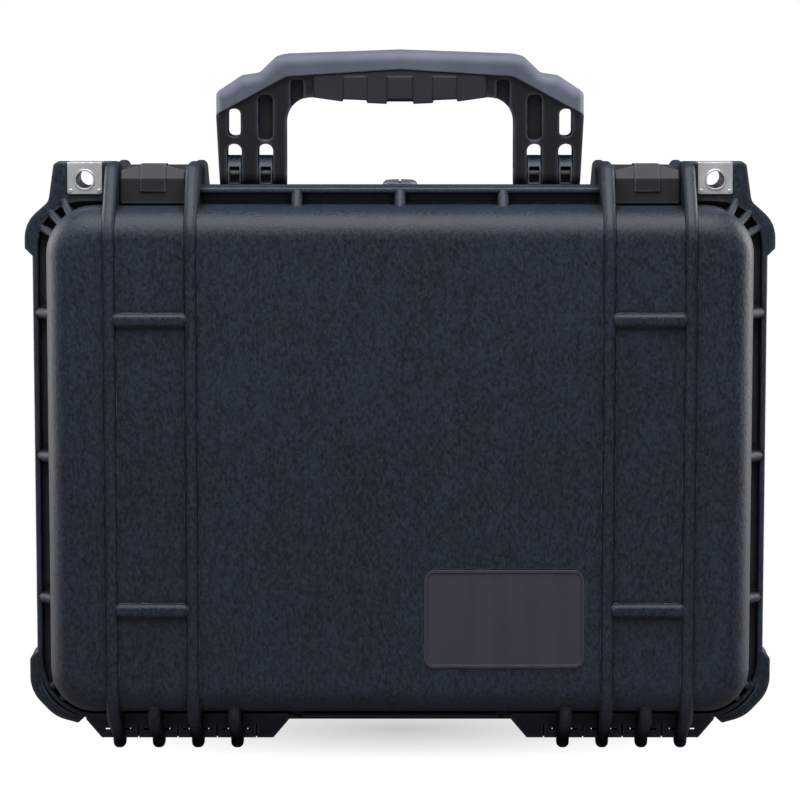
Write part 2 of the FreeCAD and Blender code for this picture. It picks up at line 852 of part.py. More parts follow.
def apron_slits(name):
    """Narrow slits up the lid's skirt, half way between two foot ribs."""
    depth = (at("-", "rim_depth + overrun"), at("-", "apron_back"))
    slits = []
    for index in range(4):
        middle = foot_place(index, True)
        xs = (f"{middle} - apron_slit / 2", f"{middle} + apron_slit / 2")
        zs = ("apron_bottom - overrun", "apron_bottom + apron_slit_height")
        slits.append(box(f"{name}_{index}", xs, depth, zs))
    return slits


def lug_notch(name, side):
    """The open notch through a lug that takes the steel eyelet."""
    body = new_body(name)
    left = f"-padlock_place - ({NOTCH_RADIUS})"
    right = f"-padlock_place + ({NOTCH_RADIUS})"
    low = f"padlock_z - ({NOTCH_RADIUS})"
    rounding = f"round_share * ({NOTCH_RADIUS})"
    sketch = outline(front_sketch(body, "part_plane"), [
        (left, low, rounding),
        (right, low, rounding),
        (right, "guard_top + overrun"),
        (left, "guard_top + overrun"),
    ])
    pad(body, sketch, "2 * (rim_depth + overrun)", both=True)
    recess = "guard_width / 2 + notch_gap"
    outline_top = outline(front_sketch(body, "part_plane"), [
        (f"-padlock_place - ({recess})", f"{lug_top(side)} - guard_sheet"),
        (f"-padlock_place + ({recess})", f"{lug_top(side)} - guard_sheet"),
        (f"-padlock_place + ({recess})", "guard_top + overrun"),
        (f"-padlock_place - ({recess})", "guard_top + overrun"),
    ])
    pad(body, outline_top, "2 * (rim_depth + overrun)", both=True)
    return both_sides(name + "_right", body)


def steel_guard(name, side):
    """A bent steel plate over the front and top of a lug, with an eyelet through the notch and two barbs."""
    body = new_body(name)
    back = side == "+"
    left, right = "-padlock_place - guard_width / 2", "-padlock_place + guard_width / 2"
    high = lug_top(side)
    low, bend = f"{high} - guard_height", f"{high} - guard_sheet"
    face = outline(front_sketch(body, at(side, "rim_depth")), [
        (left, low, "lug_round / 2"),
        (right, low, "lug_round / 2"),
        (right, high),
        (left, high),
    ])
    pad(body, face, "guard_sheet", back=back)
    top = outline(front_sketch(body, at(side, "half_seam")), [
        (left, bend),
        (right, bend),
        (right, high),
        (left, high),
    ])
    pad(body, top, "rim_depth - half_seam", back=back)
    barbs = front_sketch(body, at(side, "rim_depth"))
    circle(barbs, f"{left} + barb_inset", f"{low} + barb_inset", "barb_radius")
    circle(barbs, f"{right} - barb_inset", f"{low} + barb_inset", "barb_radius")
    pad(body, barbs, "guard_sheet + barb_rise", back=back)
    tube = front_sketch(body, at(side, "half_seam"))
    circle(tube, "-padlock_place", "padlock_z", "padlock_radius + eyelet_wall")
    pad(body, tube, "rim_depth - half_seam + guard_sheet + eyelet_lip", back=back)
    hole = front_sketch(body, at(side, "half_seam"))
    circle(hole, "-padlock_place", "padlock_z", "padlock_radius")
    pocket(body, hole, "2 * (rim_depth + overrun)", both=True)
    return body


def half_of_case(name, side, depth, gusset_length, left_pieces, middle_pieces):
    """A half before its cuts: the tub, its flange and all that stands on them."""
    pieces = [tub(f"{name}_tub", side, "0", "half_seam", depth, "face_round"), flange(f"{name}_flange", side)]
    left_pieces += [low_bumper(f"{name}_bumper", side), lug(f"{name}_lug", side)]
    left_pieces += left_gussets(f"{name}_gusset", side, gusset_length)
    left_pieces.append(skirt(f"{name}_skirt", side, "skirt_bottom", "half_seam", "rim_depth"))
    left = fuse(f"{name}_left", left_pieces)
    pieces += both_sides(f"{name}_right", left)
    pieces.append(gusset(f"{name}_top_gusset", side, "lid_gusset", "0", "shell_top", 90))
    return fuse(f"{name}_solid", pieces + middle_pieces)


def cavity(name, side, room):
    return tub(name, side, "-wall", "0", room, "face_round - wall")


def lid_shell():
    left = [lid_long_rib("lid_rib_outer", "-rib_out"), lid_long_rib("lid_rib_inner", "-rib_in")]
    left += [lid_short_rib(f"lid_foot_{i}", foot_place(i, False)) for i in (1, 3)]
    left += [knuckle(f"lid_knuckle_{i}", foot_place(i, False)) for i in range(4)]
    left += [cross_bar(f"lid_bar_{word}", sign) for word, sign in (("low", "-"), ("high", "+"))]
    left.append(skirt("lid_apron", "-", "apron_bottom", "apron_back", "rim_depth"))
    depth = (at("-", "rim_depth"), at("-", "half_seam"))
    left.append(box("lid_catch", ("-rib_out", "-rib_in"), depth, ("shell_top - wall / 2", "flange_top")))
    solid = half_of_case("lid", "-", "lid_depth", "lid_gusset", left, [])
    bores = [hinge_bore("lid_hinge_bore")] + skirt_slots("lid_slot", "-") + apron_slits("lid_slit")
    tools = [cavity("lid_cavity", "-", "lid_room")]
    tools.append(wall_ring("lid_groove", "+", "half_seam", "groove_width", "groove_depth + seam_gap", "-"))
    for bore in bores:
        tools += both_sides(bore.Name + "_right", bore)
    tools += lug_notch("lid_notch", "-")
    tools.append(label_recess())
    return cut("lid_shell", solid, fuse("lid_cuts", tools))


def cross_bar(name, sign):
    """A bar between the two ribs on the lid's face, with round ends that lie on the ribs."""
    body = new_body(name)
    height = f"middle {sign} side_gusset_pitch"
    left, right = "-(rib_out - bar_inset)", "-(rib_in + bar_inset)"
    low, high = f"{height} - bar_height / 2", f"{height} + bar_height / 2"
    end = "round_share * bar_height / 2"
    corners = [(left, low, end), (right, low, end), (right, high, end), (left, high, end)]
    pad(body, outline(front_sketch(body, "lid_face + wall / 2"), corners), "lid_rib_rise + wall / 2")
    front = number("lid_face - lid_rib_rise")
    round_edges(body, "bar_round", lambda edge: lies_at(edge, "Y", front))
    return body


def label_outline(body, grow):
    """The label's outline at the bottom of its recess, moved outwards."""
    sketch = front_sketch(body, "lid_face + label_sink")
    return label_edge(sketch, grow)


def label_edge(sketch, grow):
    width = f"label_width + 2 * ({grow})"
    height = f"label_height + 2 * ({grow})"
    return rectangle(sketch, width, height, "label_z", f"label_corner + ({grow})", "label_place")


def label_recess():
    body = new_body("label_recess")
    sketch = label_outline(body, "half_seam")
    pad(body, sketch, "label_sink + overrun")
    return body


def handle_boss(name, out, inner):
    """A boss on the base between two prongs of the handle."""
    xs = (f"-({out}) + boss_gap", f"-({inner}) - boss_gap")
    ys = ("handle_y - boss_radius", "handle_y + boss_radius")
    stem = box(name + "_stem", xs, ys, ("shell_top - wall", "handle_z"))
    top = rod(name + "_top", "boss_radius", f"({xs[1]}) - ({xs[0]})", xs[0], "handle_y", "handle_z")
    return [stem, top]


def boss_pocket(name, out, inner):
    """An open front in a boss, where the handle's pin shows."""
    xs = (f"-({out}) + boss_gap + boss_cheek", f"-({inner}) - boss_gap - boss_cheek")
    ys = ("handle_y - boss_radius - overrun", "handle_y")
    return box(name, xs, ys, ("handle_z - boss_pocket_down", "handle_z + boss_pocket_up"))


def base_shell():
    left = [base_long_rib("base_rib_outer", "-rib_out"), base_long_rib("base_rib_inner", "-rib_in")]
    left += [base_foot_rib(f"base_foot_{i}", foot_place(i, False)) for i in range(4)]
    left += [knuckle_web(f"base_web_{i}", foot_place(i, True)) for i in range(4)]
    left += [knuckle(f"base_knuckle_{i}", foot_place(i, True)) for i in range(4)]
    left += handle_boss("boss_outer", "slot_one_out", "slot_one_in")
    left += handle_boss("boss_inner", "slot_two_out", "slot_two_in")
    seat = upright_rod("valve_boss", "valve_boss_radius", "shell_top - wall", "valve_seat")
    root = "flange_plate / 2"
    tongue = wall_ring("base_tongue", "+", root, "tongue_width", f"{root} + tongue_height", "-")
    solid = half_of_case("base", "+", "base_depth", "base_gusset", left, [seat, tongue])
    tools = [cavity("base_cavity", "+", "base_room")]
    low = "shell_top - 2 * wall - overrun"
    tools.append(upright_rod("valve_hole", "valve_hole_radius", low, "valve_seat + overrun"))
    bores = [hinge_bore("base_hinge_bore")] + skirt_slots("base_slot", "+")
    bores.append(boss_pocket("boss_outer_pocket", "slot_one_out", "slot_one_in"))
    bores.append(boss_pocket("boss_inner_pocket", "slot_two_out", "slot_two_in"))
    radius, length = "latch_pin_radius + pin_clearance", "rib_spread + 2 * overrun"
    bores.append(rod("latch_bore", radius, length, "-rib_out - overrun", at("+", "pivot_u"), "pivot_z"))
    radius, length = "handle_pin_radius + pin_clearance", "handle_leg_width + 2 * overrun"
    bores.append(rod("handle_bore", radius, length, "-handle_half - overrun", "handle_y", "handle_z"))
    for bore in bores:
        tools += both_sides(bore.Name + "_right", bore)
    tools += lug_notch("base_notch", "+")
    return cut("base_shell", solid, fuse("base_cuts", tools))


def lid_seal():
    """A soft ring at the bottom of the lid's groove."""
    seat = "half_seam + groove_depth"
    body = wall_ring("lid_seal", "-", seat, "seal_width", "seal_height", "+")
    ends = [number(at("-", seat)), number(at("-", f"{seat} - seal_height"))]
    round_edges(body, "seal_round", lambda edge: any(lies_at(edge, "Y", end) for end in ends))
    return body


def label_plate():
    """A bare plate with a raised edge, let into the lid's face."""
    body = new_body("label_plate")
    pad(body, label_outline(body, "0"), "label_thick")
    frame = label_edge(label_outline(body, "0"), "-label_rim")
    pad(body, frame, "label_thick + label_rim_rise")
    return body


# Latches: a lever on the base's ribs, and a hook on the lever that reaches over the lid's flange


def latch_lever():
    body = new_body("latch_lever_left")
    x = "-latch_place"
    top = "link_z + latch_eye"
    tail = "pivot_u + lever_length"
    corners = [
        ("pivot_u - latch_eye", "pivot_z - latch_eye", "round_share * latch_eye"),
        ("pivot_u - latch_eye", "pivot_z + latch_eye / 2", "latch_eye / 2"),
        ("link_u - latch_eye / 2", top, "round_share * latch_eye"),
        (tail, f"{top} - lever_tip_drop", "lever_edge"),
        (tail, f"{top} - lever_tip_drop - lever_tip_thick", "lever_edge"),
        (f"{tail} - lever_grip_slope / 2", f"{top} - lever_grip_thick", "lever_edge"),
        (f"{tail} - lever_grip_slope", f"{top} - lever_grip_thick", "lever_edge"),
        ("pivot_u + latch_eye", "pivot_z - latch_eye", "round_share * latch_eye"),
    ]
    pad(body, outline(side_sketch(body, x), corners, ("part_plane", "0")), "latch_width", both=True)
    slot_end = "link_u + latch_eye + lever_web"
    slot = outline(side_sketch(body, x), [
        ("pivot_u - latch_eye - overrun", "pivot_z - latch_eye - overrun"),
        (slot_end, "pivot_z - latch_eye - overrun"),
        (slot_end, "link_z + latch_eye + overrun"),
        ("pivot_u - latch_eye - overrun", "link_z + latch_eye + overrun"),
    ], ("part_plane", "0"))
    pocket(body, slot, "hook_arm_width + 2 * lever_slot_gap", both=True)
    holes = side_sketch(body, x)
    circle(holes, "part_plane + pivot_u", "pivot_z", "latch_pin_radius + pin_clearance")
    circle(holes, "part_plane + link_u", "link_z", "latch_pin_radius + pin_clearance")
    pocket(body, holes, "latch_width + 2 * overrun", both=True)
    return body


def latch_hook():
    body = new_body("latch_hook_left")
    x = "-latch_place"
    head = [
        ("-lip_front", "lip_bottom", "hook_edge"),
        ("-lip_front", "hook_top - hook_bevel_drop", "hook_edge"),
        ("-(lip_front - hook_bevel_run)", "hook_top", "hook_edge"),
        ("hook_head_end", "hook_top - hook_arm_slope"),
        ("hook_head_end", "hook_under"),
        ("-lip_back", "hook_under", "hook_edge"),
        ("-lip_back", "lip_bottom", "hook_edge"),
    ]
    pad(body, outline(side_sketch(body, x), head, ("part_plane", "0")), "latch_width", both=True)
    wings = front_sketch(body, "part_plane")
    for sign in "+-":
        middle, side = f"{x} {sign} hook_pad_width / 2", f"{x} {sign} latch_width / 2"
        outline(wings, [(middle, "hook_top"), (side, "hook_top - hook_wing_fall"), (side, "hook_top")])
    pocket(body, wings, "2 * (lip_front + overrun)", both=True)
    sides = [number(f"{x} {sign} latch_width / 2") for sign in "+-"]
    end, bevel = number(at("+", "hook_head_end")), number("hook_top - hook_bevel_drop")

    def on_outside(edge):
        at_side = any(lies_at(edge, "X", place) for place in sides)
        return at_side and edge.BoundBox.ZMax > bevel - SAME_PLACE and not lies_at(edge, "Y", end)

    round_edges(body, "hook_side_round", on_outside)
    arm = [
        ("hook_head_end - lip_thick", "hook_under"),
        ("link_u + latch_eye", "link_z - latch_eye", "round_share * latch_eye"),
        ("link_u + latch_eye", "link_z + latch_eye", "round_share * latch_eye"),
        ("hook_head_end - lip_thick", "hook_top - hook_arm_slope"),
    ]
    pad(body, outline(side_sketch(body, x), arm, ("part_plane", "0")), "hook_arm_width", both=True)
    ridge = [
        ("-(lip_front + hook_pad_rise)", "hook_top - hook_bevel_drop - hook_pad_height"),
        ("-(lip_front + hook_pad_rise)", "hook_top - hook_bevel_drop", "hook_edge"),
        ("-(lip_front + hook_pad_rise - hook_bevel_run)", "hook_top + hook_pad_rise", "hook_edge"),
        ("hook_head_end - lip_thick", "hook_top"),
        ("hook_head_end - lip_thick", "hook_under"),
        ("-lip_back", "hook_under"),
        ("-lip_back", "hook_top - hook_bevel_drop - hook_pad_height"),
    ]
    pad(body, outline(side_sketch(body, x), ridge, ("part_plane", "0")), "hook_pad_width", both=True)
    hole = side_sketch(body, x)
    circle(hole, "part_plane + link_u", "link_z", "latch_pin_radius + pin_clearance")
    pocket(body, hole, "latch_width + 2 * overrun", both=True)
    return body


def latch_pin():
    """Lies in the two ribs and carries the lever."""
    start, length = "-rib_out - rib_width / 2", "rib_spread + rib_width"
    return rod("latch_pin_left", "latch_pin_radius", length, start, at("+", "pivot_u"), "pivot_z")


def link_pin():
    """Lies in the lever and carries the hook."""
    start = "-latch_place - latch_width / 2"
    return rod("latch_link_pin_left", "latch_pin_radius", "latch_width", start, at("+", "link_u"), "link_z")


def hinge_pin():
    start = "-(rib_out + rib_spread / 8)"
    return rod("hinge_pin_left", "hinge_pin_radius", "2 * rib_spread", start, "part_plane", "hinge_height")


# Handle: a frame with two three-prong legs, a soft cover on top and a finger pad below


def half_handle(name, corners, depth):
    body = new_body(name)
    pad(body, outline(front_sketch(body, "handle_y"), corners), depth, both=True)
    return body


def handle_frame():
    body = half_handle("handle_half_frame", [
        ("-leg_in", "handle_z - handle_leg_end"),
        ("-leg_in", "arch_z", "arch_round"),
        ("-pad_half", "arch_z"),
        ("-pad_half", "core_z"),
        ("0", "core_z"),
        ("0", "cover_z"),
        ("-crown_half", "cover_z - cover_crown", "cover_round"),
        ("-handle_half", "cover_z - cover_drop"),
        ("-(handle_half - handle_leg_lean)", "handle_z - handle_leg_end"),
    ], "handle_depth")
    low = number("handle_z - handle_leg_end")
    rounding = "round_share * handle_depth / 2"
    round_edges(body, rounding, lambda edge: lies_at(edge, "Z", low) and runs_along_x(edge))
    slots = front_sketch(body, "handle_y")
    for out, inner in (("slot_one_out", "slot_one_in"), ("slot_two_out", "slot_two_in")):
        outline(slots, [
            (f"-{out}", "handle_z - handle_leg_end - overrun"),
            (f"-{inner}", "handle_z - handle_leg_end - overrun"),
            (f"-{inner}", "handle_z + slot_rise", "round_share * prong_slot / 2"),
            (f"-{out}", "handle_z + slot_rise", "round_share * prong_slot / 2"),
        ])
    window_low = "handle_z + slot_rise + window_lift"
    outline(slots, [
        ("-(slot_one_out - window_side)", window_low, "window_round"),
        ("-(slot_one_in + window_side)", window_low, "window_round"),
        ("-(slot_one_in + window_side)", f"{window_low} + window_height", "window_round"),
        ("-(slot_one_out - window_side)", f"{window_low} + window_height", "window_round"),
    ])
    pocket(body, slots, "handle_depth + 2 * overrun", both=True)
    for side in "-+":
        blind = front_sketch(body, f"handle_y {side} handle_depth / 2")
        groove_low = "handle_z + slot_rise + window_lift / 2"
        outline(blind, [
            ("-slot_two_out", groove_low, "window_round"),
            ("-slot_two_in", groove_low, "window_round"),
            ("-slot_two_in", f"{groove_low} + groove_height", "window_round"),
            ("-slot_two_out", f"{groove_low} + groove_height", "window_round"),
        ])
        inner = "leg_in - corner_pocket_in"
        pocket_high = "cover_z - cover_crown - corner_pocket_round"
        pocket_low = "cover_z - corner_pocket_height"
        outline(blind, [
            (f"-({inner})", pocket_low, "corner_pocket_round"),
            (f"-({inner} - corner_pocket_width)", pocket_low, "corner_pocket_round"),
            (f"-({inner} - corner_pocket_width)", pocket_high, "corner_pocket_round"),
            (f"-({inner})", pocket_high, "corner_pocket_round"),
        ])
        pocket(body, blind, "pocket_deep", back=side == "+")
    bore = side_sketch(body, "-(handle_half + leg_in) / 2")
    circle(bore, "handle_y", "handle_z", "handle_pin_radius + pin_clearance")
    pocket(body, bore, "handle_leg_width + 2 * overrun", both=True)
    return fuse("handle_frame", both_sides("handle_half_frame_right", body))


def handle_cover():
    """The soft cover over the top of the handle."""
    body = half_handle("handle_half_cover", [
        ("0", "cover_z"),
        ("0", "handle_top"),
        ("-crown_half", "crown_z", "crown_round"),
        ("-shoulder_top_half", "shoulder_top_z", "shoulder_top_round"),
        ("-shoulder_foot_half", "shoulder_foot_z", "shoulder_foot_round"),
        ("-shoulder_knee_half", "shoulder_knee_z", "shoulder_foot_round"),
        ("-handle_half", "shoulder_end_z", "shoulder_end_round"),
        ("-handle_half", "cover_z - cover_drop"),
        ("-crown_half", "cover_z - cover_crown", "cover_round"),
    ], "cover_depth")
    faces = [number(f"handle_y {sign} cover_depth / 2") for sign in "+-"]
    limit = number("cover_z")

    def on_top(edge):
        at_face = any(lies_at(edge, "Y", face) for face in faces)
        return at_face and edge.BoundBox.ZMax > limit + SAME_PLACE and not lies_at(edge, "X", 0)

    round_edges(body, "cover_edge", on_top)
    return fuse("handle_cover", both_sides("handle_half_cover_right", body))


def finger_pad():
    """The moulded grip under the handle's bar, with shallow finger beds."""
    body = half_handle("handle_half_pad", [
        ("0", "arch_z - pad_mid_fall"),
        ("-finger_half", "arch_z - pad_mid_fall"),
        ("-(finger_half + pad_step)", "arch_z - pad_high_fall"),
        ("-finger_inner", "arch_z - pad_high_fall + pad_step"),
        ("-(finger_inner + pad_step)", "arch_z - pad_low_fall - pad_step"),
        ("-finger_outer", "arch_z - pad_low_fall"),
        ("-(finger_outer + pad_step)", "arch_z - pad_mid_fall"),
        ("-pad_half", "arch_z"),
        ("-pad_half", "cover_z - cover_crown * pad_half / crown_half"),
        ("0", "cover_z"),
    ], "pad_depth")
    room = front_sketch(body, "handle_y")
    outline(room, [
        ("-(pad_half + overrun)", "core_z"),
        ("overrun", "core_z"),
        ("overrun", "cover_z + overrun"),
        ("-(pad_half + overrun)", "cover_z + overrun"),
    ])
    low, high = "arch_z - pad_low_fall", "cover_z - cover_crown"
    panels = front_sketch(body, "handle_y")
    for inner, outer in (("0", "finger_half"), ("finger_inner", "finger_outer")):
        corners = [(f"-({outer})", low), (f"-({inner})", low), (f"-({inner})", high), (f"-({outer})", high)]
        outline(panels, corners)
    pad(body, panels, "pad_depth + 2 * finger_panel", both=True)
    pocket(body, room, "handle_depth", both=True)
    return fuse("handle_finger_pad", both_sides("handle_half_pad_right", body))


def handle_pin():
    start, length = "-(handle_half - handle_leg_lean)", "handle_leg_width - handle_leg_lean"
    return rod("handle_pin_left", "handle_pin_radius", length, start, "handle_y", "handle_z")


# Pressure valve through the base's upper wall


def turned(name, profile):
    """A solid of revolution about the valve's upright axis, from radius and height pairs."""
    body = new_body(name)
    sketch = new_sketch(body, "XZ_Plane", "-valve_y")
    outline(sketch, profile)
    feature = body.newObject("PartDesign::Revolution", name + "_turn")
    feature.Profile = sketch
    feature.ReferenceAxis = (sketch, ["V_Axis"])
    feature.Angle = 360
    return body


def valve_body():
    return turned("valve_body", [
        ("valve_bore_radius", "valve_seat - valve_stem_length"),
        ("valve_stem_radius", "valve_seat - valve_stem_length"),
        ("valve_stem_radius", "valve_seat + valve_seal_thick"),
        ("valve_head_radius", "valve_seat + valve_seal_thick"),
        ("valve_head_radius", "valve_seat + valve_seal_thick + valve_head_height", "valve_seal_thick"),
        ("valve_cap_radius - wall / 2", "valve_seat + valve_seal_thick + valve_head_height"),
        ("valve_cap_radius - wall / 2", "valve_seat + valve_seal_thick + valve_seat_height"),
        ("valve_bore_radius", "valve_seat + valve_seal_thick + valve_seat_height"),
    ])


def valve_seal():
    return turned("valve_seal", [
        ("valve_stem_radius", "valve_seat"),
        ("valve_seal_radius", "valve_seat"),
        ("valve_seal_radius", "valve_seat + valve_seal_thick"),
        ("valve_stem_radius", "valve_seat + valve_seal_thick"),
    ])


def valve_membrane():
    low = "valve_seat + valve_seal_thick + valve_seat_height"
    return upright_rod("valve_membrane", "valve_membrane_radius", low, f"{low} + valve_membrane_thick")


def valve_cap():
    """A domed cap over the head, with a slot across it for air and a coin."""
    low = "valve_seat + valve_seal_thick + valve_head_height"
    body = turned("valve_cap", [
        ("0", low),
        ("valve_cap_radius", low),
        ("valve_cap_radius", f"{low} + valve_cap_height", "valve_cap_round"),
        ("0", f"{low} + valve_cap_height"),
    ])
    slot = outline(front_sketch(body, "valve_y"), [
        ("-valve_cap_slot / 2", f"{low} + valve_cap_height - valve_cap_slot"),
        ("valve_cap_slot / 2", f"{low} + valve_cap_height - valve_cap_slot"),
        ("valve_cap_slot / 2", f"{low} + valve_cap_height + overrun"),
        ("-valve_cap_slot / 2", f"{low} + valve_cap_height + overrun"),
    ])
    pocket(body, slot, "2 * valve_cap_radius + 2 * overrun", both=True)
    return body


def valve_nut():
    """A hexagon nut on the stem, inside the case."""
    hexagon = doc.addObject("Part::Prism", "valve_nut_hexagon")
    hexagon.Polygon = 6
    tie(hexagon, Circumradius="valve_nut_width / 2 / cos(30 deg)", Height="valve_nut_height")
    top = "shell_top - wall - valve_back * tan(draft_angle * 1 deg) - valve_nut_gap"
    low = f"{top} - valve_nut_height"
    put(hexagon, "0", "valve_y", low)
    radius = "valve_hole_radius - pin_clearance"
    hole = upright_rod("valve_nut_hole", radius, f"{low} - overrun", f"{top} + overrun")
    return cut("valve_nut", hexagon, hole)


def named(thing, label):
    thing.Label = label
    return thing


def pair(left):
    """A left-hand piece and its twin on the right."""
    stem = left.Name[: -len("_left")]
    return [named(left, stem + "_left"), mirrored(stem + "_right", left)]


nodes = [base_shell(), lid_shell(), lid_seal(), label_plate()]
nodes += [handle_frame(), handle_cover(), finger_pad()]
nodes += [valve_body(), valve_seal(), valve_membrane(), valve_cap(), valve_nut()]
lefts = [latch_lever(), latch_hook(), latch_pin(), link_pin(), hinge_pin(), handle_pin()]
lefts += [steel_guard("padlock_guard_lid_left", "-"), steel_guard("padlock_guard_base_left", "+")]
for left in lefts:
    nodes += pair(left)
doc.recompute()

for thing in doc.Objects:
    if "Invalid" in thing.State or "Error" in thing.State:
        raise RuntimeError(f"{thing.Name} did not build: {thing.State}")
os.makedirs("parts", exist_ok=True)
for node in nodes:
    shape = node.Shape
    if shape.isNull() or not shape.isValid():
        raise RuntimeError(f"{node.Label} has no sound solid")
    shape.exportStep(f"parts/{named(node, node.Label).Label}.step")
    print(node.Label, len(shape.Solids), round(shape.Volume / 1000, 2), "cm3")
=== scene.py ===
# %% [markdown]
# # A protective hard case, standing on its hinge side
# The moulded solids of the case are already made and come in as a fixed frame: every shell, latch, pin and
# handle piece is one object, in metres, with the floor at Z = 0. This lesson dresses them. Each finish is a
# small tree of shader nodes, and each one starts from what the real material shows: moulded grain, worn
# edges, brushed steel, soft rubber. The shells also carry painted highlights on edges and crests and painted
# shade in corners.

# %% Load the frame
import json
import math

import bpy
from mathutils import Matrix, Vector

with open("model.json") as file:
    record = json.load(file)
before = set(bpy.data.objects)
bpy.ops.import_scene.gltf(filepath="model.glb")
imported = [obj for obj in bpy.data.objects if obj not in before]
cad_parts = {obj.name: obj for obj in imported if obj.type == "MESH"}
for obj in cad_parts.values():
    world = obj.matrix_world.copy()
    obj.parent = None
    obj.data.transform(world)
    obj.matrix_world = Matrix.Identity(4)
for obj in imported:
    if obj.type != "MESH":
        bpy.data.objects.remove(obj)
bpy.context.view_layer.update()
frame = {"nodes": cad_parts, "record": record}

# %% [markdown]
# ## Shader maths as Python
# A material is easier to read as formulas than as a list of nodes and links. The class below wraps one node
# output. Adding or multiplying two of them adds a Math node, so `1 - mask` works as it reads. Every other
# node comes from one method of the finish: its type, its settings, then its sockets.


# %% Wires and finishes
class Wire:
    """One number or colour that runs between shader nodes."""

    def __init__(self, finish, socket):
        self.finish = finish
        self.socket = socket

    def math(self, operation, left, right):
        return self.finish.node("ShaderNodeMath", {"operation": operation}, {0: left, 1: right})

    def __add__(self, other):
        return self.math("ADD", self, other)

    def __radd__(self, other):
        return self.math("ADD", other, self)

    def __sub__(self, other):
        return self.math("SUBTRACT", self, other)

    def __rsub__(self, other):
        return self.math("SUBTRACT", other, self)

    def __mul__(self, other):
        return self.math("MULTIPLY", self, other)

    def __rmul__(self, other):
        return self.math("MULTIPLY", other, self)

    def between(self, low, high, start=0.0, end=1.0):
        """Stretches the stretch from low to high over start to end, and stops there."""
        sockets = {"Value": self, "From Min": low, "From Max": high, "To Min": start, "To Max": end}
        return self.finish.node("ShaderNodeMapRange", {"clamp": True}, sockets)


class Finish:
    """A material that is built node by node round its one shader."""

    def __init__(self, name):
        self.material = bpy.data.materials.new(name)
        self.material.use_nodes = True
        self.tree = self.material.node_tree
        self.shader = self.tree.nodes["Principled BSDF"]

    def node(self, kind, settings=None, sockets=None, out=0):
        made = self.tree.nodes.new(kind)
        for name, value in (settings or {}).items():
            setattr(made, name, value)
        for name, value in (sockets or {}).items():
            self.feed(made.inputs[name], value)
        return Wire(self, made.outputs[out])

    def feed(self, socket, value):
        if isinstance(value, Wire):
            self.tree.links.new(value.socket, socket)
        else:
            socket.default_value = value

    def place(self):
        """Where a point is on its piece, in metres. It moves with the piece."""
        return self.node("ShaderNodeTexCoord", out="Object")

    def stretched(self, scale):
        """The same place, stretched along each axis."""
        return self.node("ShaderNodeVectorMath", {"operation": "MULTIPLY"}, {0: self.place(), 1: scale})

    def noise(self, scale, detail=2.0, roughness=0.5, place=None):
        sockets = {"Vector": place or self.place(), "Scale": scale, "Detail": detail, "Roughness": roughness}
        return self.node("ShaderNodeTexNoise", {}, sockets)

    def cells(self, scale, feature="F1"):
        sockets = {"Vector": self.place(), "Scale": scale}
        return self.node("ShaderNodeTexVoronoi", {"feature": feature}, sockets)

    def blend(self, factor, first, second):
        sockets = {0: factor, 6: first, 7: second}
        return self.node("ShaderNodeMix", {"data_type": "RGBA"}, sockets, out=2)

    def soft_normal(self, radius):
        """The surface direction with its sharp edges rounded over."""
        return self.node("ShaderNodeBevel", {"samples": 6}, {"Radius": radius})

    def edge(self, radius):
        """One along sharp edges and zero on open faces: how far the rounded direction leans."""
        true = self.node("ShaderNodeNewGeometry", out="Normal")
        lean = self.node("ShaderNodeVectorMath", {"operation": "DOT_PRODUCT"},
                         {0: self.soft_normal(radius), 1: true}, out="Value")
        return (1 - lean).between(0.0, 0.12)

    def painted_corner_shade(self, reach):
        """One deep in a corner of the piece and zero on open faces; it marks where shade is painted in."""
        open_share = self.node("ShaderNodeAmbientOcclusion", {"samples": 8, "only_local": True},
                               {"Distance": reach}, out="AO")
        return (1 - open_share).between(0.08, 0.40)

    def painted_crest_highlight(self, reach):
        """One on thin ribs and outer edges and zero on open faces; it marks where a highlight is painted on.
        """
        settings = {"samples": 8, "only_local": True, "inside": True}
        solid_share = self.node("ShaderNodeAmbientOcclusion", settings, {"Distance": reach}, out="AO")
        return (1 - solid_share).between(0.15, 0.60)

    def finish(self, colour, roughness, height, depth, radius, **constants):
        """Ties what changes over the surface to the shader, with a bump over softened edges."""
        bump = self.node("ShaderNodeBump", {}, {
            "Strength": 1.0, "Distance": depth, "Height": height, "Normal": self.soft_normal(radius)})
        self.feed(self.shader.inputs["Base Color"], colour)
        self.feed(self.shader.inputs["Roughness"], roughness)
        self.feed(self.shader.inputs["Normal"], bump)
        for name, value in constants.items():
            self.shader.inputs[name.replace("_", " ")].default_value = value
        return self.material


def shade(red, green, blue):
    """A colour as a paint chart gives it, 0 to 255, turned into linear light."""
    parts = [value / 255 for value in (red, green, blue)]
    return tuple(p / 12.92 if p <= 0.04045 else ((p + 0.055) / 1.055) ** 2.4 for p in parts) + (1.0,)


print("slate as linear light:", [round(v, 4) for v in shade(44, 51, 61)])
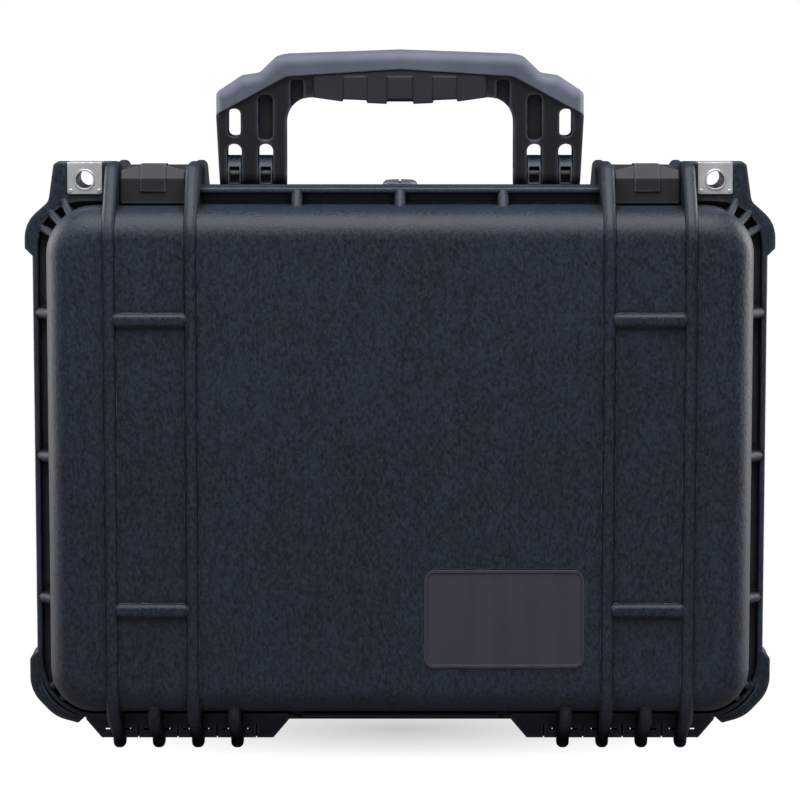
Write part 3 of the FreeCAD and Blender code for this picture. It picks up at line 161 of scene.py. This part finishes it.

# %% [markdown]
# ## The moulded shells
# The lid and base are polypropylene, moulded in a grained tool. Up close the grain is a carpet of small soft
# pebbles; from further off it only breaks up the shine. Two sizes of noise and a cell pattern make the grain.
# Sharp edges are painted paler and made smoother: partly wear where they rub on floors and shelves, partly a
# painted highlight. Rib crests are painted paler as a highlight, and the corners beside them are painted
# darker as shade.


# %% Moulded plastic
def moulded_plastic(name, dark, pale, grain, rough, depth, specular):
    look = Finish(name)
    worms = look.noise(grain, 2.0, 0.55, look.stretched((1.0, 1.0, 0.62)))
    pebbles = look.cells(grain * 1.3, "SMOOTH_F1")
    cloud = look.noise(9.0, 4.0, 0.55)
    drawn = look.noise(70.0, 5.0, 0.65, look.stretched((1.0, 1.0, 0.22)))
    height = worms * 0.8 + pebbles * 0.4
    # Sharp edges under a patchy mask: partly wear, partly a painted highlight.
    wear_and_highlight = look.edge(0.0011) * look.noise(140.0, 3.0).between(0.42, 0.68)
    tint = (worms - 0.5) * 2.4 + (cloud - 0.5) * 0.5 + (drawn - 0.5) * 0.5 + 0.5
    grained = look.blend(tint.between(0.0, 1.0), dark, pale)
    # Rib crests and outer edges blend toward a paler slate: a painted highlight.
    crest_highlighted = look.blend(look.painted_crest_highlight(0.0028) * 0.45, grained, shade(74, 84, 98))
    # Corners beside ribs blend toward near-black: painted shade, not dirt.
    shadowed = look.blend(look.painted_corner_shade(0.0045) * 0.85, crest_highlighted, shade(5, 7, 10))
    # Edges blend toward pale grey: partly wear, partly painted highlight.
    scuffed_and_highlit = look.blend(wear_and_highlight * 0.40, shadowed, shade(112, 118, 128))
    roughness = rough + (worms - 0.5) * 0.25 + (cloud - 0.5) * 0.10 - wear_and_highlight * 0.06
    return look.finish(scuffed_and_highlit, roughness, height, depth, 0.0007, Specular_IOR_Level=specular)


case_look = moulded_plastic(
    "case_slate_plastic", shade(3, 10, 19), shade(30, 41, 55),
    grain=700.0, rough=0.54, depth=0.00022, specular=0.28)
latch_look = moulded_plastic(
    "latch_black_plastic", shade(24, 24, 28), shade(34, 34, 39),
    grain=1500.0, rough=0.58, depth=0.00002, specular=0.26)
core_look = moulded_plastic(
    "handle_black_plastic", shade(11, 11, 15), shade(20, 20, 24),
    grain=1400.0, rough=0.45, depth=0.00003, specular=0.30)
valve_look = moulded_plastic(
    "valve_grey_plastic", shade(70, 74, 82), shade(96, 100, 108),
    grain=1500.0, rough=0.45, depth=0.00002, specular=0.40)
print("moulded finishes:", case_look.name, latch_look.name, core_look.name, valve_look.name)

# %% [markdown]
# ## Soft pieces
# The top of the handle and the finger pad under it are over-moulded rubber: dull, a little paler where hands
# polish it, with a very fine dust of texture. The seals are the same kind of rubber, darker.


# %% Rubber
def soft_rubber(name, dark, pale, rough):
    look = Finish(name)
    dust = look.noise(2600.0, 4.0, 0.6)
    handled = look.noise(38.0, 3.0, 0.5)
    colour = look.blend((handled * 0.6 + dust * 0.4).between(0.35, 0.7), dark, pale)
    roughness = rough + (dust - 0.5) * 0.2
    return look.finish(colour, roughness, dust, 0.00003, 0.0012, Specular_IOR_Level=0.35)


grip_look = soft_rubber("grip_rubber", shade(66, 71, 84), shade(84, 89, 103), 0.62)
pad_look = soft_rubber("finger_pad_rubber", shade(20, 23, 32), shade(31, 34, 44), 0.60)
seal_look = soft_rubber("seal_rubber", shade(24, 24, 26), shade(34, 34, 37), 0.62)
print("soft finishes:", grip_look.name, pad_look.name, seal_look.name)

# %% [markdown]
# ## Steel
# The padlock guards and the pins are stainless steel. Pressed guards keep fine brush marks along one
# direction, which is noise squeezed hard along one axis.


# %% Brushed steel
def brushed_steel(name):
    look = Finish(name)
    marks = look.noise(420.0, 4.0, 0.65, look.stretched((0.12, 1.0, 7.0)))
    smudge = look.noise(90.0, 3.0)
    colour = look.blend(smudge.between(0.35, 0.7), shade(190, 190, 195), shade(214, 214, 218))
    roughness = 0.36 + marks * 0.16 + smudge * 0.08
    return look.finish(colour, roughness, marks, 0.00002, 0.0004, Metallic=1.0)


steel_look = brushed_steel("guard_steel")
print("steel finish:", steel_look.name)

# %% [markdown]
# ## The bare label plate
# A thin dark plate with a raised edge sits in a shallow recess of the lid. It carries nothing: only a satin
# face with a faint vertical draw, like printed film before printing.


# %% Label film
def label_film(name):
    look = Finish(name)
    weave = look.noise(1800.0, 2.0, 0.5)
    draw = look.noise(120.0, 3.0, 0.5, look.stretched((1.0, 1.0, 0.1)))
    colour = look.blend((weave * 0.5 + draw * 0.5).between(0.3, 0.7), shade(38, 40, 50), shade(47, 49, 60))
    return look.finish(colour, 0.46 + draw * 0.12, weave, 0.00001, 0.0004, Specular_IOR_Level=0.4)


def breathing_film(name):
    look = Finish(name)
    fibre = look.noise(5200.0, 5.0, 0.7)
    colour = look.blend(fibre, shade(205, 205, 200), shade(232, 232, 228))
    return look.finish(colour, 0.75 + fibre * 0.2, fibre, 0.00003, 0.0002)


label_look = label_film("label_film")
membrane_look = breathing_film("valve_membrane_film")
print("label finish:", label_look.name)

# %% Give each piece its finish
LOOKS = {
    "case_plastic": case_look,
    "latch_plastic": latch_look,
    "handle_plastic": core_look,
    "handle_rubber": grip_look,
    "seal_rubber": seal_look,
    "steel": steel_look,
    "label_plastic": label_look,
    "membrane_fabric": membrane_look,
}


def dress(node, look):
    piece = frame["nodes"][node]
    piece.data.materials.clear()
    piece.data.materials.append(look)


for part in frame["record"]["subparts"]:
    dress(part["node"], LOOKS[part["material_slot"]])
dress("handle_finger_pad", pad_look)
for node in ("valve_body", "valve_cap"):
    dress(node, valve_look)

# %% [markdown]
# ## Floor and light
# The case stands on a plain white sweep. The floor takes the shadow close to the case and fades into clean
# white further out, only for the rays that the camera sees. Soft boxes light the case: one above, one in
# front, and one behind each side, which draws the bright line on its rounded edge.


# %% White floor
SHADOW_GLOW = 0.54  # share of clean white right under the case
FADE_END = 0.075  # metres from the middle, where the floor is all white


def white_floor():
    bpy.ops.mesh.primitive_plane_add(size=80.0)
    floor = bpy.context.object
    floor.name = "studio_floor"
    look = Finish("studio_white")
    path = look.tree.nodes.new("ShaderNodeLightPath")
    seen = Wire(look, path.outputs["Is Camera Ray"])
    reach = look.node("ShaderNodeVectorMath", {"operation": "LENGTH"},
                      {0: look.stretched((0.45, 1.0, 1.0))}, out="Value")
    speckle = look.noise(40.0, 3.0)
    pale = look.blend(speckle, shade(238, 238, 239), shade(242, 242, 243))
    dull = look.blend(speckle, shade(112, 112, 114), shade(118, 118, 120))
    look.feed(look.shader.inputs["Base Color"], look.blend(seen, dull, pale))
    look.feed(look.shader.inputs["Roughness"], 0.8 + speckle * 0.1)
    glow = look.node("ShaderNodeEmission", {}, {"Color": (1.0, 1.0, 1.0, 1.0), "Strength": 1.0})
    white_share = seen * (SHADOW_GLOW + reach.between(0.0, FADE_END) * (1 - SHADOW_GLOW))
    lit = Wire(look, look.shader.outputs[0])
    mixed = look.node("ShaderNodeMixShader", {}, {0: white_share, 1: lit, 2: glow})
    look.feed(look.tree.nodes["Material Output"].inputs["Surface"], mixed)
    floor.data.materials.append(look.material)
    return floor


def white_world():
    world = bpy.data.worlds.new("studio_air")
    world.use_nodes = True
    bpy.context.scene.world = world
    nodes, links = world.node_tree.nodes, world.node_tree.links
    path = nodes.new("ShaderNodeLightPath")
    strength = nodes.new("ShaderNodeMapRange")
    strength.inputs["To Min"].default_value = 0.06
    strength.inputs["To Max"].default_value = 1.0
    links.new(path.outputs["Is Camera Ray"], strength.inputs["Value"])
    links.new(strength.outputs[0], nodes["Background"].inputs["Strength"])
    nodes["Background"].inputs["Color"].default_value = (1.0, 1.0, 1.0, 1.0)


def soft_box(name, place, target, width, height, power):
    lamp = bpy.data.lights.new(name, "AREA")
    lamp.shape = "RECTANGLE"
    lamp.size, lamp.size_y, lamp.energy = width, height, power
    thing = bpy.data.objects.new(name, lamp)
    bpy.context.scene.collection.objects.link(thing)
    thing.location = place
    thing.rotation_mode = "QUATERNION"
    thing.rotation_quaternion = (Vector(target) - Vector(place)).to_track_quat("-Z", "Y")


white_floor()
white_world()
soft_box("box_above", (0.0, -0.60, 1.55), (0.0, -0.05, 0.2), 1.6, 1.5, 58.0)
soft_box("box_left", (-1.30, 0.40, 0.50), (0.0, 0.0, 0.18), 0.7, 1.1, 26.0)
soft_box("box_right", (1.30, 0.40, 0.50), (0.0, 0.0, 0.18), 0.7, 1.1, 30.0)
soft_box("box_front", (0.0, -2.30, 0.90), (0.0, 0.0, 0.2), 2.6, 1.6, 7.0)

# %% [markdown]
# ## Camera
# The picture was taken from straight in front and a little above. Its upright lines stay upright, so the lens
# was shifted down instead of the whole camera being tipped. A small shift and a small tip come close.


# %% Camera
def front_camera(distance, elevation, aim, half_width, shift):
    data = bpy.data.cameras.new("front_camera")
    camera = bpy.data.objects.new("front_camera", data)
    bpy.context.scene.collection.objects.link(camera)
    tilt = math.radians(elevation)
    camera.location = Vector(aim) + distance * Vector((0.0, -math.cos(tilt), math.sin(tilt)))
    camera.rotation_mode = "QUATERNION"
    camera.rotation_quaternion = (Vector(aim) - camera.location).to_track_quat("-Z", "Y")
    data.lens = data.sensor_width / 2 * distance / half_width
    data.shift_y = shift
    data.clip_end = 200.0
    bpy.context.scene.camera = camera
    return camera


camera = front_camera(distance=1.75, elevation=6.49, aim=(0.0, -0.048, 0.238), half_width=0.2169, shift=-0.1)
bpy.context.scene.view_settings.view_transform = "Standard"
print("lens:", round(camera.data.lens, 1), "mm")
